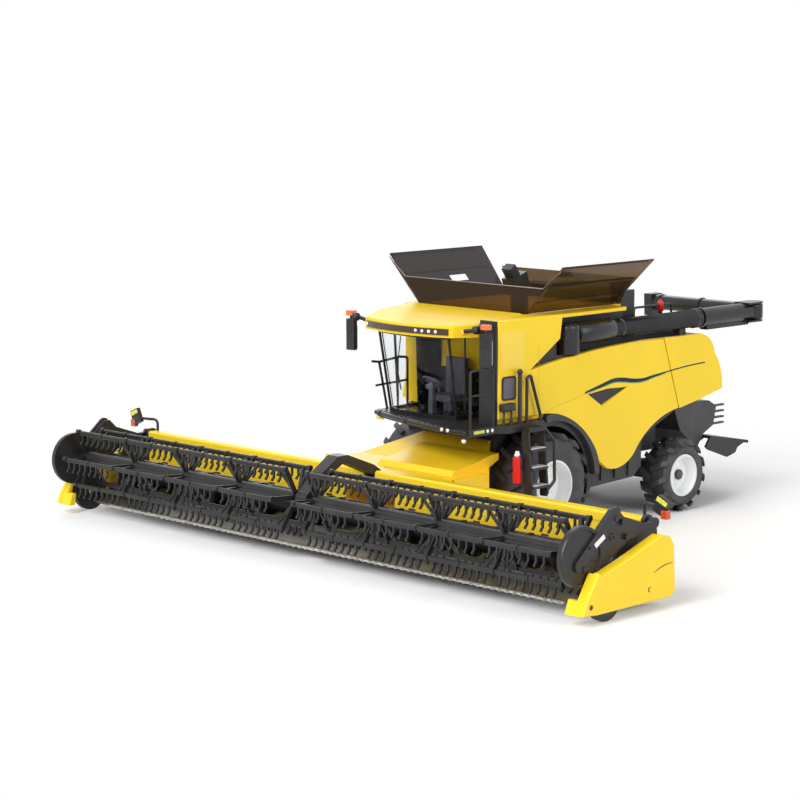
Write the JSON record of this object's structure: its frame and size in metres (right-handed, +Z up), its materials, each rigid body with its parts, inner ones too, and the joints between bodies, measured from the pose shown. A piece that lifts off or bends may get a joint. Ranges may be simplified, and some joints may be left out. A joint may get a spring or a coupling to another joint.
{
  "type": "1:32 scale model combine harvester with folded unloading auger and full-width grain header",
  "caption": "Scale model combine harvester with a wide tined-reel header, glazed cab, flared grain tank and folded unloading auger.",
  "frame": {"origin": "on the ground, under the middle of the bounding box", "axes": "+X to the machine's left side, -Y forward, +Z up"},
  "size_m": [0.4098, 0.3445, 0.1512],
  "materials": {
    "yellow_body": "gloss",
    "black_plastic": "satin",
    "grey_plastic": "satin",
    "tyre_rubber": "matte",
    "white_rim": "gloss",
    "clear_glass": "clear",
    "smoked_panel": "smoked, clear",
    "silver_knife": "brushed",
    "red_plastic": "gloss",
    "lamp_strip": "gloss"
  },
  "bodies": {
    "chassis": {"air_intake": "black_plastic", "boarding_ladder": "black_plastic", "cab_frame": "black_plastic", "cab_glass": "clear_glass", "cab_handrails": "black_plastic", "cab_mirrors": "black_plastic", "cab_roof": "yellow_body", "cab_seat": "grey_plastic", "cab_steering_column": "black_plastic", "cabinet_front": "black_plastic", "chassis_frame": "grey_plastic", "deck_handrails": "black_plastic", "engine_bay": "grey_plastic", "engine_cover": "black_plastic", "fire_extinguisher": "red_plastic", "grain_tank": "yellow_body", "platform": "black_plastic", "rear_axle_beam": "grey_plastic", "rear_hood": "yellow_body", "roof_light_bar": "lamp_strip", "side_panel_left": "yellow_body", "side_panel_right": "yellow_body", "spreader_board": "grey_plastic", "straw_chopper": "grey_plastic", "tank_end_panels": "smoked_panel", "tank_fill_auger": "black_plastic", "wheel_arches": "black_plastic"},
    "header": {"crop_divider_left": "yellow_body", "crop_divider_right": "yellow_body", "cutter_bar": "silver_knife", "feeder_house": "yellow_body", "header_end_sheets": "black_plastic", "header_trough": "yellow_body", "marker_lamps": "black_plastic"},
    "gauge_wheel_left": {"gauge_wheel_left": "black_plastic"},
    "gauge_wheel_right": {"gauge_wheel_right": "black_plastic"},
    "header_auger": {"intake_auger": "black_plastic"},
    "reel_arms": {"reel_arm_left": "black_plastic", "reel_arm_middle": "black_plastic", "reel_arm_right": "black_plastic"},
    "reel": {"reel_left": "black_plastic", "reel_right": "black_plastic", "reel_shaft": "black_plastic"},
    "wheel_front_left": {"tyre_front_left": "tyre_rubber", "rim_front_left": "white_rim"},
    "wheel_front_right": {"tyre_front_right": "tyre_rubber", "rim_front_right": "white_rim"},
    "knuckle_left": {"knuckle_left": "grey_plastic"},
    "knuckle_right": {"knuckle_right": "grey_plastic"},
    "wheel_rear_left": {"tyre_rear_left": "tyre_rubber", "rim_rear_left": "white_rim"},
    "wheel_rear_right": {"tyre_rear_right": "tyre_rubber", "rim_rear_right": "white_rim"},
    "tank_flap_left": {"tank_flap_left": "smoked_panel"},
    "tank_flap_right": {"tank_flap_right": "smoked_panel"},
    "unload_auger": {"unloading_auger_inner": "black_plastic"},
    "auger_outer": {"unloading_auger_outer": "black_plastic"}
  },
  "joints": [
    {"name": "wheel_front_left_spin", "type": "hinge", "parent": "chassis", "child": "wheel_front_left", "pos_m": [0.0435, -0.0186, 0.0295], "axis": [-1, 0, 0], "continuous": true},
    {"name": "wheel_front_right_spin", "type": "hinge", "parent": "chassis", "child": "wheel_front_right", "pos_m": [-0.0435, -0.0186, 0.0295], "axis": [-1, 0, 0], "continuous": true},
    {"name": "steer_left", "type": "hinge", "parent": "chassis", "child": "knuckle_left", "pos_m": [0.031, 0.0966, 0.0213], "axis": [0, 0, 1], "range_deg": [-20, 20]},
    {"name": "steer_right", "type": "hinge", "parent": "chassis", "child": "knuckle_right", "pos_m": [-0.031, 0.0966, 0.0213], "axis": [0, 0, 1], "range_deg": [-20, 20]},
    {"name": "wheel_rear_left_spin", "type": "hinge", "parent": "knuckle_left", "child": "wheel_rear_left", "pos_m": [0.045, 0.0966, 0.0213], "axis": [-1, 0, 0], "continuous": true},
    {"name": "wheel_rear_right_spin", "type": "hinge", "parent": "knuckle_right", "child": "wheel_rear_right", "pos_m": [-0.045, 0.0966, 0.0213], "axis": [-1, 0, 0], "continuous": true},
    {"name": "header_lift", "type": "hinge", "parent": "chassis", "child": "header", "pos_m": [0, -0.036, 0.05], "axis": [-1, 0, 0], "range_deg": [0, 8]},
    {"name": "gauge_wheel_left_spin", "type": "hinge", "parent": "header", "child": "gauge_wheel_left", "pos_m": [0.197, -0.1444, 0.011], "axis": [-1, 0, 0], "continuous": true},
    {"name": "gauge_wheel_right_spin", "type": "hinge", "parent": "header", "child": "gauge_wheel_right", "pos_m": [-0.197, -0.1444, 0.011], "axis": [-1, 0, 0], "continuous": true},
    {"name": "header_auger_spin", "type": "hinge", "parent": "header", "child": "header_auger", "pos_m": [0, -0.117, 0.019], "axis": [-1, 0, 0], "continuous": true},
    {"name": "reel_lift", "type": "hinge", "parent": "header", "child": "reel_arms", "pos_m": [0, -0.1035, 0.041], "axis": [-1, 0, 0], "range_deg": [0, 15]},
    {"name": "reel_spin", "type": "hinge", "parent": "reel_arms", "child": "reel", "pos_m": [0, -0.1523, 0.033], "axis": [-1, 0, 0], "continuous": true},
    {"name": "tank_flap_left_fold", "type": "hinge", "parent": "chassis", "child": "tank_flap_left", "pos_m": [0.0414, 0.01, 0.1252], "axis": [0, -1, 0], "range_deg": [0, 133]},
    {"name": "tank_flap_right_fold", "type": "hinge", "parent": "chassis", "child": "tank_flap_right", "pos_m": [-0.0414, 0.01, 0.1252], "axis": [0, 1, 0], "range_deg": [0, 133]},
    {"name": "unload_auger_swing", "type": "hinge", "parent": "chassis", "child": "unload_auger", "pos_m": [0.049, -0.002, 0.112], "axis": [0, 0, -1], "range_deg": [0, 95]},
    {"name": "auger_outer_fold", "type": "hinge", "parent": "unload_auger", "child": "auger_outer", "pos_m": [0.049, 0.166, 0.112], "axis": [0, 0, -1], "range_deg": [0, 90]}
  ],
  "couplings": [
    {"joint": "steer_right", "follows": "steer_left", "ratio": 1}
  ]
}
